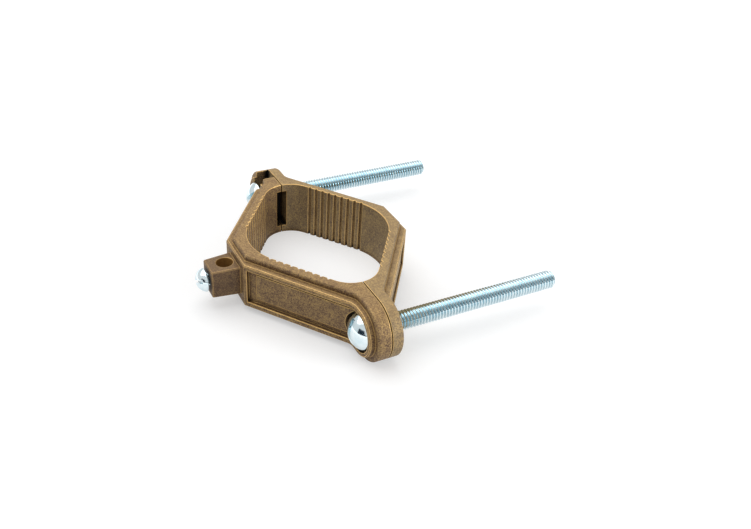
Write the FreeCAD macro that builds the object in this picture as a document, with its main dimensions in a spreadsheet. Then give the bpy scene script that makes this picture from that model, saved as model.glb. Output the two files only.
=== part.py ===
import FreeCAD, Part
import math
import os

import Sketcher

# Swing-open earthing clamp for a steel pipe: two cast bronze jaws drawn together by two long
# machine screws, with a lug on the front jaw that holds the earthing conductor.
#
# Frame, in millimetres: Z is the pipe's axis and points up, with the lower rim at Z = 0.
# X runs along the parting plane, from the slotted ears (-X) to the hinge ears (+X).
# Y is square to the parting plane: the front jaw and the screw heads lie at Y < 0, the back
# jaw and the screw tips at Y > 0. The origin is on the pipe's axis.
#
# Each wall of a jaw leans at wall_angle to the parting plane. A "flat" is the distance from
# the pipe's axis square to such a wall; "along" is the distance along that wall towards the
# ear, counted from the foot of that perpendicular.

SIZES = [
    ("jaw_height", 25.4, "height of both castings along the pipe"),
    ("wall_angle", 36.0, "degrees between a jaw wall and the parting plane"),
    ("inner_flat", 29.6, "pipe axis to the toothed inner wall"),
    ("plate_wall", 3.7, "thickness of the full-height wall"),
    ("flange_wall", 3.2, "how far the framed flange stands out from that wall"),
    ("plate_apex", 35.8, "pipe axis to the blunt corner of the full-height wall"),
    ("flange_apex", 37.6, "pipe axis to the blunt corner of the flange"),
    ("rim_step", 2.6, "the flange starts this far below the rim, and above the lower one"),
    ("apex_radius", 24.4, "inner radius at the blunt corner"),
    ("corner_radius", 12.0, "inner radius at the parting plane"),
    ("bend_radius", 6.0, "radius where a wall turns into its ear"),
    ("screw_spacing", 111.2, "distance between the two long screws"),
    ("half_gap", 0.2, "half the gap between the closed jaws"),
    ("front_ear", 5.8, "parting plane to the front of the front jaw's ear"),
    ("boss_front", 8.3, "parting plane to the front of the raised ring round a head"),
    ("head_seat", 7.0, "parting plane to the seat of a screw head"),
    ("back_ear", 5.2, "parting plane to the back of the back jaw's ear"),
    ("panel_rib", 2.1, "rib above a panel"),
    ("panel_foot", 2.6, "rib below a panel"),
    ("panel_post", 1.4, "rib at the blunt-corner end of a panel"),
    ("panel_depth", 1.5, "depth of the panel below its frame"),
    ("groove_width", 1.1, "groove between the raised field and the rib above it"),
    ("groove_foot", 2.4, "groove between that field and the rib below it"),
    ("groove_post", 4.0, "groove between that field and the rib at its end"),
    ("field_rise", 0.7, "height of the raised field above the groove"),
    ("relief_depth", 2.2, "depth of the pocket cored into each parting face"),
    ("relief_length", 7.5, "length of that pocket, from the inner wall towards the screw"),
    ("relief_margin", 3.5, "metal left above and below that pocket"),
    ("tooth_count", 9, "grooves in one toothed wall"),
    ("tooth_pitch", 3.35, "distance between two grooves"),
    ("tooth_start", -5.2, "along: place of the first groove"),
    ("tooth_width", 1.6, "width of a groove"),
    ("tooth_depth", 0.9, "depth of a groove"),
    ("screw_diameter", 7.94, "thread of the long screws"),
    ("screw_length", 91.8, "length of a long screw under its head"),
    ("head_diameter", 15.8, "head of a long screw"),
    ("head_height", 5.1, "height of that head"),
    ("driver_slot", 1.9, "width of the driver slot"),
    ("driver_depth", 2.6, "depth of the driver slot"),
    ("tip_chamfer", 0.9, "chamfer at the tip of a long screw"),
    ("hole_clearance", 0.35, "radial, long screw in the front jaw"),
    ("thread_clearance", 0.05, "radial, a screw in its tapped hole"),
    ("head_clearance", 0.3, "radial, head of a long screw in its ring"),
    ("lug_width", 13.0, "width of the lug at the jaw"),
    ("lug_end_width", 10.8, "width of the lug at its end"),
    ("lug_height", 13.0, "height of the lug at the jaw"),
    ("lug_end_height", 12.4, "height of the lug at its end"),
    ("lug_length", 11.8, "lug, from the blunt corner of the flange to its end"),
    ("conductor_bore", 7.0, "hole for the conductor"),
    ("bore_setback", 4.5, "blunt corner of the flange to the axis of that hole"),
    ("lug_screw_diameter", 5.5, "thread of the lug screw"),
    ("lug_head_diameter", 10.4, "head of the lug screw"),
    ("lug_head_height", 4.0, "height of that head"),
    ("lug_driver_slot", 1.6, "width of its driver slot"),
    ("lug_driver_depth", 2.0, "depth of its driver slot"),
    ("lug_screw_gap", 1.3, "end of the lug to the underside of the head"),
    ("lug_tip_setback", 0.3, "tip of the lug screw to the wall of the conductor hole"),
    ("hinge_screw_turn", -14.0, "degrees that its driver slot leans from upright towards +X"),
    ("slot_screw_turn", 35.0, "the same for the slot screw"),
    ("lug_screw_turn", 63.0, "the same for the lug screw"),
    ("rim_fillet", 1.0, "cast rounding of the rims and the ears"),
    ("flange_chamfer", 0.5, "bevel of the flange and the rings"),
    ("lug_chamfer", 0.4, "bevel of the lug"),
    ("overcut", 4.0, "how far a cut runs past the metal"),
    ("touching", 0.01, "two points nearer than this are one"),
]

# Places that follow from the sizes above.
PLACES = [
    ("mid_height", "jaw_height / 2"),
    ("screw_place", "screw_spacing / 2"),
    ("plate_flat", "inner_flat + plate_wall"),
    ("flange_flat", "plate_flat + flange_wall"),
    ("mid_flat", "inner_flat + plate_wall / 2"),
    ("mid_apex", "plate_apex - plate_wall / 2"),
    ("floor_flat", "flange_flat - panel_depth"),
    ("field_flat", "floor_flat + field_rise"),
    ("plate_apex_x", "(plate_flat - plate_apex * cos(wall_angle)) / sin(wall_angle)"),
    ("flange_apex_x", "(flange_flat - flange_apex * cos(wall_angle)) / sin(wall_angle)"),
    ("mid_apex_x", "(mid_flat - mid_apex * cos(wall_angle)) / sin(wall_angle)"),
    ("bend_reach", "bend_radius * tan(wall_angle / 2)"),
    ("corner_centre", "(inner_flat - corner_radius) / sin(wall_angle)"),
    ("inner_end", "corner_centre + sqrt(corner_radius ^ 2 - half_gap ^ 2)"),
    ("corner_x", "corner_centre + corner_radius * sin(wall_angle)"),
    ("corner_y", "corner_radius * cos(wall_angle)"),
    ("apex_centre", "(inner_flat - apex_radius) / cos(wall_angle)"),
    ("apex_x", "apex_radius * sin(wall_angle)"),
    ("apex_y", "apex_centre + apex_radius * cos(wall_angle)"),
    ("inner_apex", "apex_centre + apex_radius"),
    ("ear_end", "screw_place + mid_height"),
    ("boss_radius", "mid_height - rim_step"),
    ("boss_end", "screw_place + boss_radius"),
    ("panel_low", "rim_step + panel_foot"),
    ("panel_height", "jaw_height - rim_step - panel_rib - panel_low"),
    ("panel_start", "flange_apex_x * cos(wall_angle) - flange_apex * sin(wall_angle) + panel_post"),
    ("field_low", "panel_low + groove_foot"),
    ("field_height", "panel_height - groove_foot - groove_width"),
    ("field_start", "panel_start + groove_post"),
    ("seat_radius", "head_diameter / 2 + head_clearance"),
    ("hole_radius", "screw_diameter / 2 + hole_clearance"),
    ("tapped_radius", "screw_diameter / 2 + thread_clearance"),
    ("lug_tapped_radius", "lug_screw_diameter / 2 + thread_clearance"),
    ("lug_end", "flange_apex + lug_length"),
    ("bore_place", "flange_apex + bore_setback"),
    ("lug_screw_length", "lug_end + lug_screw_gap - bore_place - conductor_bore / 2 - lug_tip_setback"),
]

doc = FreeCAD.newDocument("EarthingClamp")
sheet = doc.addObject("Spreadsheet::Sheet", "sizes")


def fill_sheet():
    """Driving sizes first, one to a row, then the places worked out from them."""
    row = 0
    for alias, value, note in SIZES:
        row += 1
        sheet.set("A%d" % row, note)
        sheet.set("B%d" % row, str(value))
        sheet.setAlias("B%d" % row, alias)
    for alias, formula in PLACES:
        row += 1
        sheet.set("A%d" % row, alias.replace("_", " "))
        sheet.set("B%d" % row, "=" + formula)
        sheet.setAlias("B%d" % row, alias)
    doc.recompute()


ALIASES = sorted([size[0] for size in SIZES] + [place[0] for place in PLACES], key=len, reverse=True)


def bound(formula):
    """The formula with each name written as a cell of the sheet."""
    words = []
    word = ""
    for letter in formula + " ":
        if letter.isalnum() or letter == "_":
            word += letter
            continue
        words.append("sizes." + word if word in ALIASES else word)
        words.append(letter)
        word = ""
    return "".join(words).strip()


def value_of(formula):
    """What the formula comes to now."""
    return float(sheet.evalExpression(bound(formula)))


def sketch_on(body, name, plane, offset=None):
    """A sketch on one of the body's own planes, moved along its normal by a formula."""
    sketch = body.newObject("Sketcher::SketchObject", name)
    faces = [feature for feature in body.Origin.OriginFeatures if feature.Role == plane]
    sketch.AttachmentSupport = (faces[0], [""])
    sketch.MapMode = "FlatFace"
    if offset:
        sketch.setExpression("AttachmentOffset.Base.z", bound(offset))
    return sketch


def hold(sketch, kind, refs, formula):
    """A dimension of the sketch that follows a formula; zero is a point on an axis."""
    amount = value_of(formula)
    if kind in ("DistanceX", "DistanceY") and formula.strip("-() ") == "0":
        axis = -2 if kind == "DistanceX" else -1
        sketch.addConstraint(Sketcher.Constraint("PointOnObject", refs[0], refs[1], axis))
        return
    if kind in ("DistanceX", "DistanceY"):
        index = sketch.addConstraint(Sketcher.Constraint(kind, -1, 1, refs[0], refs[1], amount))
    else:
        index = sketch.addConstraint(Sketcher.Constraint(kind, refs[0], amount))
    sketch.setExpression("Constraints[%d]" % index, bound(formula))


def arc_between(start, end, centre):
    """The arc from start to end round centre by the shorter way, and whether it is reversed."""
    radius = start.distanceToPoint(centre)
    first = math.atan2(start.y - centre.y, start.x - centre.x)
    last = math.atan2(end.y - centre.y, end.x - centre.x)
    turn = (last - first) % (2 * math.pi)
    circle = Part.Circle(centre, FreeCAD.Vector(0, 0, 1), radius)
    if turn <= math.pi + 1e-6:
        return Part.ArcOfCircle(circle, first, first + turn), False
    return Part.ArcOfCircle(circle, last, last + 2 * math.pi - turn), True


def loop(sketch, corners, arcs=None):
    """A closed outline through the corners, each a pair of formulas for x and y.

    arcs maps the number of a corner to the arc that leaves it: the formulas of the arc's
    centre, and either the formula of its radius or None for a half-round, which its centre
    fixes.
    """
    arcs = arcs or {}
    points = [FreeCAD.Vector(value_of(x), value_of(y), 0) for x, y in corners]
    edges = []
    for number, start in enumerate(points):
        end = points[(number + 1) % len(points)]
        if number in arcs:
            centre_x, centre_y, radius = arcs[number]
            centre = FreeCAD.Vector(value_of(centre_x), value_of(centre_y), 0)
            edge, turned = arc_between(start, end, centre)
        else:
            edge, turned = Part.LineSegment(start, end), False
        edges.append((sketch.addGeometry(edge, False), 2 if turned else 1, 1 if turned else 2))
    for number, (edge, first, last) in enumerate(edges):
        following, joined, other = edges[(number + 1) % len(edges)]
        sketch.addConstraint(Sketcher.Constraint("Coincident", edge, last, following, joined))
        hold(sketch, "DistanceX", (edge, first), corners[number][0])
        hold(sketch, "DistanceY", (edge, first), corners[number][1])
        if number not in arcs:
            continue
        centre_x, centre_y, radius = arcs[number]
        if radius:
            hold(sketch, "Radius", (edge,), radius)
        elif corners[number][0] == corners[number + 1][0]:
            hold(sketch, "DistanceX", (edge, 3), centre_x)
        else:
            hold(sketch, "DistanceY", (edge, 3), centre_y)


def ring(sketch, centre_x, centre_y, radius):
    """A full circle."""
    centre = FreeCAD.Vector(value_of(centre_x), value_of(centre_y), 0)
    circle = Part.Circle(centre, FreeCAD.Vector(0, 0, 1), value_of(radius))
    edge = sketch.addGeometry(circle, False)
    hold(sketch, "DistanceX", (edge, 3), centre_x)
    hold(sketch, "DistanceY", (edge, 3), centre_y)
    hold(sketch, "Radius", (edge,), radius)


def pad(body, name, sketch, length):
    feature = body.newObject("PartDesign::Pad", name)
    feature.Profile = sketch
    feature.setExpression("Length", bound(length))
    doc.recompute()


def pocket(body, name, sketch, length=None, turned=False):
    """A cut of a given length, or through everything both ways."""
    feature = body.newObject("PartDesign::Pocket", name)
    feature.Profile = sketch
    feature.Reversed = turned
    if length:
        feature.setExpression("Length", bound(length))
    else:
        feature.SideType = "Symmetric"
        feature.Type = "ThroughAll"
    doc.recompute()
    if feature.Shape.Volume >= feature.BaseFeature.Shape.Volume:
        raise ValueError(name + " cuts nothing")
    return feature


def wall_point(flat, along):
    """Formulas of a point by its distance from the axis and its place along the wall."""
    x = "(%s) * sin(wall_angle) + (%s) * cos(wall_angle)" % (flat, along)
    y = "(%s) * cos(wall_angle) - (%s) * sin(wall_angle)" % (flat, along)
    return x, y


def wall_meets(flat, y):
    """Formula of the x at which a wall at that distance from the axis reaches y."""
    return "((%s) - (%s) * cos(wall_angle)) / sin(wall_angle)" % (flat, y)


def turned_corners(corners, front):
    """The front jaw lies at Y < 0, so its outlines are turned over."""
    if not front:
        return corners
    return [(x, "-(%s)" % y) for x, y in corners]


def turned_arcs(arcs, front):
    if not front:
        return arcs
    return {number: (x, "-(%s)" % y, radius) for number, (x, y, radius) in arcs.items()}


def plate(body, ear, front):
    """Half of the full-height wall, with its ear, seen along the pipe."""
    bend = wall_meets("plate_flat", ear)
    corners = [
        ("0", "plate_apex"),
        ("plate_apex_x", "plate_apex"),
        ("%s - bend_reach * cos(wall_angle)" % bend, "%s + bend_reach * sin(wall_angle)" % ear),
        ("%s + bend_reach" % bend, ear),
        ("ear_end", ear),
        ("ear_end", "half_gap"),
        ("inner_end", "half_gap"),
        ("corner_x", "corner_y"),
        ("apex_x", "apex_y"),
        ("0", "inner_apex"),
    ]
    arcs = {
        2: ("%s + bend_reach" % bend, "%s + bend_radius" % ear, "bend_radius"),
        6: ("corner_centre", "0", "corner_radius"),
        8: ("0", "apex_centre", "apex_radius"),
    }
    sketch = sketch_on(body, "plate_outline", "XY_Plane")
    loop(sketch, turned_corners(corners, front), turned_arcs(arcs, front))
    pad(body, "plate", sketch, "jaw_height")


def round_end(body, name, radius, offset, length, front):
    """Trim an ear to a half-round about its screw, through everything or over a length."""
    low = "mid_height - %s" % radius
    high = "mid_height + %s" % radius
    corners = [
        ("screw_place", "%s + overcut" % high),
        ("ear_end + overcut", "%s + overcut" % high),
        ("ear_end + overcut", "%s - overcut" % low),
        ("screw_place", "%s - overcut" % low),
        ("screw_place", low),
        ("screw_place", high),
    ]
    sketch = sketch_on(body, name + "_outline", "XZ_Plane", offset)
    loop(sketch, corners, {4: ("screw_place", "mid_height", None)})
    pocket(body, name, sketch, length, front)


def flange(body, ear, front):
    """The framed flange, lower than the rim, that stands out from the wall."""
    if front:
        bend = wall_meets("flange_flat", "boss_front")
        ear_corners = [
            ("%s - bend_reach * cos(wall_angle)" % bend, "boss_front + bend_reach * sin(wall_angle)"),
            ("%s + bend_reach" % bend, "boss_front"),
            ("boss_end", "boss_front"),
            ("boss_end", "%s / 2" % ear),
        ]
        arcs = {2: ("%s + bend_reach" % bend, "boss_front + bend_radius", "bend_radius")}
    else:
        ear_corners = [(wall_meets("flange_flat", "%s / 2" % ear), "%s / 2" % ear)]
        arcs = {}
    corners = [("0", "flange_apex"), ("flange_apex_x", "flange_apex")] + ear_corners
    corners += [
        (wall_meets("mid_flat", "%s / 2" % ear), "%s / 2" % ear),
        ("mid_apex_x", "mid_apex"),
        ("0", "mid_apex"),
    ]
    sketch = sketch_on(body, "flange_outline", "XY_Plane", "rim_step")
    loop(sketch, turned_corners(corners, front), turned_arcs(arcs, front))
    return pad(body, "flange", sketch, "jaw_height - 2 * rim_step")


def panel(body, ear, front):
    """The recessed panel in the flange, with a raised field inside a groove."""
    far = wall_point("flange_flat + overcut", "panel_start")
    near = wall_point("floor_flat", "panel_start")
    if front:
        ends = [
            (wall_meets("floor_flat", "head_seat"), "head_seat"),
            ("screw_place", "head_seat"),
            ("screw_place", "boss_front + overcut"),
        ]
    else:
        ends = [
            (wall_meets("floor_flat", ear), ear),
            (wall_meets("flange_flat + overcut", ear), ear),
        ]
    sketch = sketch_on(body, "panel_outline", "XY_Plane", "panel_low")
    loop(sketch, turned_corners([near] + ends + [far], front))
    pocket(body, "panel", sketch, "panel_height", True)

    stop = "head_seat" if front else ear
    field = [
        wall_point("floor_flat - field_rise", "field_start"),
        (wall_meets("floor_flat - field_rise", stop), stop),
        (wall_meets("field_flat", stop), stop),
        wall_point("field_flat", "field_start"),
    ]
    sketch = sketch_on(body, "field_outline", "XY_Plane", "field_low")
    loop(sketch, turned_corners(field, front))
    pad(body, "field", sketch, "field_height")


def relief(body, front):
    """The pocket cored into the parting face, open towards the pipe."""
    corners = [
        ("inner_end - overcut", "relief_margin"),
        ("inner_end + relief_length", "relief_margin"),
        ("inner_end + relief_length", "jaw_height - relief_margin"),
        ("inner_end - overcut", "jaw_height - relief_margin"),
    ]
    sketch = sketch_on(body, "relief_outline", "XZ_Plane")
    loop(sketch, corners)
    pocket(body, "relief", sketch, "half_gap + relief_depth", front)


def teeth(body, front):
    """Vertical grooves cut into the inner walls, which leave the teeth that bite the pipe."""
    half = "tooth_width / 2"
    corners = [
        wall_point("inner_flat - tooth_depth", "tooth_start - " + half),
        wall_point("inner_flat", "tooth_start - " + half),
        wall_point("inner_flat + tooth_depth", "tooth_start"),
        wall_point("inner_flat", "tooth_start + " + half),
        wall_point("inner_flat - tooth_depth", "tooth_start + " + half),
    ]
    sketch = sketch_on(body, "tooth_outline", "XY_Plane")
    loop(sketch, turned_corners(corners, front))
    ends = turned_corners([wall_point("inner_flat", "0"), wall_point("inner_flat", "tooth_pitch")], front)
    start, end = [FreeCAD.Vector(value_of(x), value_of(y), 0) for x, y in ends]
    line = sketch.addGeometry(Part.LineSegment(start, end), True)
    for place, (x, y) in ((1, ends[0]), (2, ends[1])):
        hold(sketch, "DistanceX", (line, place), x)
        hold(sketch, "DistanceY", (line, place), y)
    groove = pocket(body, "tooth", sketch)

    both = body.newObject("PartDesign::MultiTransform", "teeth")
    row = body.newObject("PartDesign::LinearPattern", "tooth_row")
    row.Direction = (sketch, ["Axis0"])
    row.Mode = "Extent"
    row.setExpression("Length", bound("tooth_pitch * (tooth_count - 1)"))
    row.setExpression("Occurrences", bound("tooth_count"))
    other = body.newObject("PartDesign::Mirrored", "tooth_mirror")
    other.MirrorPlane = plane_of(body, "YZ_Plane")
    both.Originals = [groove]
    both.Transformations = [row, other]
    body.Tip = both
    doc.recompute()


def plane_of(body, role):
    faces = [feature for feature in body.Origin.OriginFeatures if feature.Role == role]
    return (faces[0], [""])


def mirror_body(body):
    """The other half, across the plane through the pipe's axis and the blunt corners."""
    whole = body.newObject("PartDesign::Mirrored", "other_half")
    whole.TransformMode = "Whole shape"
    whole.MirrorPlane = plane_of(body, "YZ_Plane")
    body.Tip = whole
    doc.recompute()


def lug(body):
    """The tapered lug on the blunt corner, bored for the conductor and for its screw."""
    sketches = []
    for name, place, width, height in (
        ("lug_root", "flange_apex", "lug_width", "lug_height"),
        ("lug_tip", "lug_end", "lug_end_width", "lug_end_height"),
    ):
        sketch = sketch_on(body, name, "XZ_Plane", place)
        corners = [
            ("-%s / 2" % width, "mid_height - %s / 2" % height),
            ("%s / 2" % width, "mid_height - %s / 2" % height),
            ("%s / 2" % width, "mid_height + %s / 2" % height),
            ("-%s / 2" % width, "mid_height + %s / 2" % height),
        ]
        loop(sketch, corners)
        sketches.append(sketch)
    block = body.newObject("PartDesign::AdditiveLoft", "lug")
    block.Profile = sketches[0]
    block.Sections = [sketches[1]]
    doc.recompute()
    ease_edges(body, "lug_bevel", "Chamfer", "lug_chamfer", lug_edge)

    sketch = sketch_on(body, "conductor_outline", "XY_Plane")
    ring(sketch, "0", "-bore_place", "conductor_bore / 2")
    pocket(body, "conductor_hole", sketch)

    sketch = sketch_on(body, "lug_tap_outline", "XZ_Plane", "lug_end + overcut")
    ring(sketch, "0", "mid_height", "lug_tapped_radius")
    pocket(body, "lug_tap", sketch, "lug_end + overcut - bore_place")


def screw_slot(body):
    """The slot open at the top whose sides follow the swing about the hinge screw."""
    rise = "(mid_height + overcut)"
    far = "(screw_spacing + hole_radius)"
    near = "(screw_spacing - hole_radius)"
    corners = [
        ("screw_place - %s" % far, "mid_height"),
        ("screw_place - %s" % near, "mid_height"),
        ("screw_place - sqrt(%s ^ 2 - %s ^ 2)" % (near, rise), "mid_height + " + rise),
        ("screw_place - sqrt(%s ^ 2 - %s ^ 2)" % (far, rise), "mid_height + " + rise),
    ]
    arcs = {
        0: ("-screw_place", "mid_height", None),
        1: ("screw_place", "mid_height", near),
        3: ("screw_place", "mid_height", far),
    }
    sketch = sketch_on(body, "screw_slot_outline", "XZ_Plane")
    loop(sketch, corners, arcs)
    pocket(body, "screw_slot", sketch, "boss_front + overcut", True)


def head_path(body):
    """Clear the ring in front of the slotted ear, past its end and up along the head's swing."""
    rise = "(mid_height + overcut)"
    near = "(screw_spacing - seat_radius)"
    corners = [
        ("-(ear_end + overcut)", "-overcut"),
        ("-screw_place", "-overcut"),
        ("-screw_place", "mid_height - seat_radius"),
        ("seat_radius - screw_place", "mid_height"),
        ("screw_place - sqrt(%s ^ 2 - %s ^ 2)" % (near, rise), "mid_height + " + rise),
        ("-(ear_end + overcut)", "mid_height + " + rise),
    ]
    arcs = {
        2: ("-screw_place", "mid_height", "seat_radius"),
        3: ("screw_place", "mid_height", near),
    }
    sketch = sketch_on(body, "head_path_outline", "XZ_Plane", "head_seat")
    loop(sketch, corners, arcs)
    pocket(body, "head_path", sketch, "2 * overcut", True)


def ease_edges(body, name, kind, size, chosen):
    """Round or chamfer the chosen edges of the casting."""
    tip = body.Tip
    names = ["Edge%d" % (number + 1) for number, edge in enumerate(tip.Shape.Edges) if chosen(edge)]
    feature = body.newObject("PartDesign::" + kind, name)
    feature.Base = (tip, names)
    feature.setExpression("Radius" if kind == "Fillet" else "Size", bound(size))
    doc.recompute()


def outer_edge(radius, flat, apex, ear):
    """Tests whether an edge runs along the outer outline of a wall and its ear.

    radius is the half-height of that outline, flat and apex its distances from the pipe's
    axis, and ear its distance from the parting plane.
    """
    height = value_of(radius)
    reach = value_of(flat)
    blunt = value_of(apex)
    thickness = value_of(ear)
    lean = math.radians(value_of("wall_angle"))
    middle = value_of("mid_height")
    screw = value_of("screw_place")
    near = value_of("touching")

    def chosen(edge):
        ends = edge.discretize(Number=5)
        if ends[0].distanceToPoint(FreeCAD.Vector(ends[-1].x, ends[-1].y, ends[0].z)) < near:
            return False
        for point in ends:
            side = abs(point.y)
            across = math.hypot(max(point.x - screw, 0), point.z - middle)
            out = point.x * math.sin(lean) + side * math.cos(lean) > reach - near or side > blunt - near
            if abs(across - height) > near or not out or side < thickness - near:
                return False
        return True

    return chosen


def lug_edge(edge):
    """Tests whether an edge touches the end of the lug."""
    return -edge.BoundBox.YMin > value_of("lug_end") - value_of("touching")


def front_jaw():
    """The fixed casting: blunt V wall, hinge ear, slotted ear and conductor lug."""
    body = doc.addObject("PartDesign::Body", "front_jaw")
    plate(body, "front_ear", True)
    flange(body, "front_ear", True)
    round_end(body, "ear", "mid_height", None, None, False)
    round_end(body, "boss", "boss_radius", "front_ear", "boss_front - front_ear + overcut", True)
    rim = outer_edge("mid_height", "plate_flat", "plate_apex", "front_ear")
    ease_edges(body, "rim_round", "Fillet", "rim_fillet", rim)
    frame = outer_edge("boss_radius", "flange_flat", "flange_apex", "boss_front")
    ease_edges(body, "flange_bevel", "Chamfer", "flange_chamfer", frame)
    panel(body, "front_ear", True)
    sketch = sketch_on(body, "seat_outline", "XZ_Plane", "head_seat")
    ring(sketch, "screw_place", "mid_height", "seat_radius")
    pocket(body, "seat", sketch, "2 * overcut", True)
    relief(body, True)
    mirror_body(body)
    teeth(body, True)
    lug(body)

    sketch = sketch_on(body, "hinge_hole_outline", "XZ_Plane")
    ring(sketch, "screw_place", "mid_height", "hole_radius")
    pocket(body, "hinge_hole", sketch)
    screw_slot(body)
    head_path(body)
    return body


def back_jaw():
    """The swinging casting: the same wall, with a tapped hole in each ear."""
    body = doc.addObject("PartDesign::Body", "back_jaw")
    plate(body, "back_ear", False)
    flange(body, "back_ear", False)
    round_end(body, "ear", "mid_height", None, None, False)
    rim = outer_edge("mid_height", "plate_flat", "plate_apex", "back_ear")
    ease_edges(body, "rim_round", "Fillet", "rim_fillet", rim)
    frame = outer_edge("boss_radius", "flange_flat", "flange_apex", "back_ear")
    ease_edges(body, "flange_bevel", "Chamfer", "flange_chamfer", frame)
    panel(body, "back_ear", False)
    relief(body, False)
    sketch = sketch_on(body, "tap_outline", "XZ_Plane")
    ring(sketch, "screw_place", "mid_height", "tapped_radius")
    pocket(body, "tap", sketch)
    mirror_body(body)
    teeth(body, False)
    return body


def round_head_screw(name, size, place, turn):
    """A slotted round-head machine screw along Y, its own origin under the head."""
    body = doc.addObject("PartDesign::Body", name)
    crown = "(({head} / 2) ^ 2 + {height} ^ 2) / (2 * {height})".format(**size)
    corners = [
        ("0", "{length}".format(**size)),
        ("{thread} / 2 - {chamfer}".format(**size), "{length}".format(**size)),
        ("{thread} / 2".format(**size), "{length} - {chamfer}".format(**size)),
        ("{thread} / 2".format(**size), "0"),
        ("{head} / 2".format(**size), "0"),
        ("0", "-{height}".format(**size)),
    ]
    arcs = {4: ("0", "%s - %s" % (crown, size["height"]), crown)}
    sketch = sketch_on(body, "half_section", "XY_Plane")
    loop(sketch, corners, arcs)
    turned = body.newObject("PartDesign::Revolution", "turned")
    turned.Profile = sketch
    turned.ReferenceAxis = (sketch, ["V_Axis"])
    doc.recompute()

    sketch = sketch_on(body, "driver_outline", "XZ_Plane", size["height"])
    half = "{slot} / 2".format(**size)
    reach = size["head"]
    loop(sketch, [("-" + half, "-" + reach), (half, "-" + reach), (half, reach), ("-" + half, reach)])
    pocket(body, "driver_slot", sketch, size["depth"])
    body.Placement.Rotation = FreeCAD.Rotation(FreeCAD.Vector(0, 1, 0), value_of(turn))
    for axis, formula in zip("xyz", place):
        body.setExpression("Placement.Base." + axis, bound(formula))
    return body


LONG_SCREW = {
    "thread": "screw_diameter",
    "length": "screw_length",
    "chamfer": "tip_chamfer",
    "head": "head_diameter",
    "height": "head_height",
    "slot": "driver_slot",
    "depth": "driver_depth",
}
LUG_SCREW = {
    "thread": "lug_screw_diameter",
    "length": "lug_screw_length",
    "chamfer": "tip_chamfer",
    "head": "lug_head_diameter",
    "height": "lug_head_height",
    "slot": "lug_driver_slot",
    "depth": "lug_driver_depth",
}

# Where the underside of each head sits.
HINGE_PLACE = ("screw_place", "-head_seat", "mid_height")
SLOT_PLACE = ("-screw_place", "-head_seat", "mid_height")
LUG_PLACE = ("0", "-(lug_end + lug_screw_gap)", "mid_height")


def check_document():
    """Stop on any feature that failed."""
    for item in doc.Objects:
        if "Invalid" in item.State or "Error" in item.State:
            raise ValueError("%s failed: %s" % (item.Name, item.State))


def write_pieces(pieces):
    os.makedirs("parts", exist_ok=True)
    for piece in pieces:
        if piece.Shape.isNull() or not piece.Shape.isValid() or not piece.Shape.Solids:
            raise ValueError(piece.Label + " has no valid solid")
    for piece in pieces:
        piece.Shape.exportStep("parts/%s.step" % piece.Label)
        box = piece.Shape.BoundBox
        print("%-12s %9.1f mm3  X %7.2f %7.2f  Y %7.2f %7.2f  Z %6.2f %6.2f" % (
            piece.Label, piece.Shape.Volume, box.XMin, box.XMax, box.YMin, box.YMax, box.ZMin, box.ZMax))


fill_sheet()
PIECES = [
    front_jaw(),
    back_jaw(),
    round_head_screw("hinge_screw", LONG_SCREW, HINGE_PLACE, "hinge_screw_turn"),
    round_head_screw("slot_screw", LONG_SCREW, SLOT_PLACE, "slot_screw_turn"),
    round_head_screw("lug_screw", LUG_SCREW, LUG_PLACE, "lug_screw_turn"),
]
doc.recompute()
check_document()
write_pieces(PIECES)
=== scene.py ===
# %% [markdown]
# # An earthing clamp in Blender
#
# The clamp holds a steel pipe between two toothed bronze jaws and joins it to an earthing
# wire. Its castings come ready made from CAD, as the frame of this scene. What is left to
# make here is what the CAD left plain: the threads of the screws, the metals, the table,
# the light and the camera. All lengths are in metres, in the frame of the CAD model.

# %% The frame from CAD
import math

import bmesh
import bpy
from mathutils import Matrix, Vector


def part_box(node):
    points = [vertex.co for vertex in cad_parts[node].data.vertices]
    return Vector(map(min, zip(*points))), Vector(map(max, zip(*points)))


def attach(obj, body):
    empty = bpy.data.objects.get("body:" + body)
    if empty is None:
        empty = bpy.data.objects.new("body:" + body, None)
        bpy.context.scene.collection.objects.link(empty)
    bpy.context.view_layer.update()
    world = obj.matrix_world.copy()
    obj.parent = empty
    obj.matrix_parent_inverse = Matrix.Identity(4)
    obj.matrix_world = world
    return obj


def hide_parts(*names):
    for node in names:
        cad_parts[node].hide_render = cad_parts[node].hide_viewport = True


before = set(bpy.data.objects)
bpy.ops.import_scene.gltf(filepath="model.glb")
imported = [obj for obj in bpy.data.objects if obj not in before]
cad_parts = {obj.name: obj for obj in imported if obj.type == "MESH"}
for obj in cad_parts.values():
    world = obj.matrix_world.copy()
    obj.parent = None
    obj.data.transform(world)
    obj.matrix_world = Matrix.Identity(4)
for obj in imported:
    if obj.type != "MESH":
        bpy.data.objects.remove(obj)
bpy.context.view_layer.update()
MM = 0.001
print("nodes:", sorted(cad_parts))

# %% [markdown]
# ## Camera
#
# The camera stands where the photographer's did. Its place, its direction and its lens were
# found by fitting the corners of the clamp to the picture, so it also has the slight roll
# that a hand-held camera has. A camera could be aimed with a Track To constraint as well,
# but a matrix made from a forward and an up direction keeps the roll exactly. The Standard
# view transform shows each colour as it is written.

# %% Camera
PHOTO_WIDTH = 751
FOCAL_PIXELS = 806.6
SENSOR_WIDTH = 36.0
CAMERA_PLACE = Vector((267.1, -124.3, 206.8)) * MM
CAMERA_FORWARD = Vector((-0.71925, 0.41357, -0.55825)).normalized()
CAMERA_UP = Vector((-0.51881, 0.21470, 0.82749))

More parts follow.
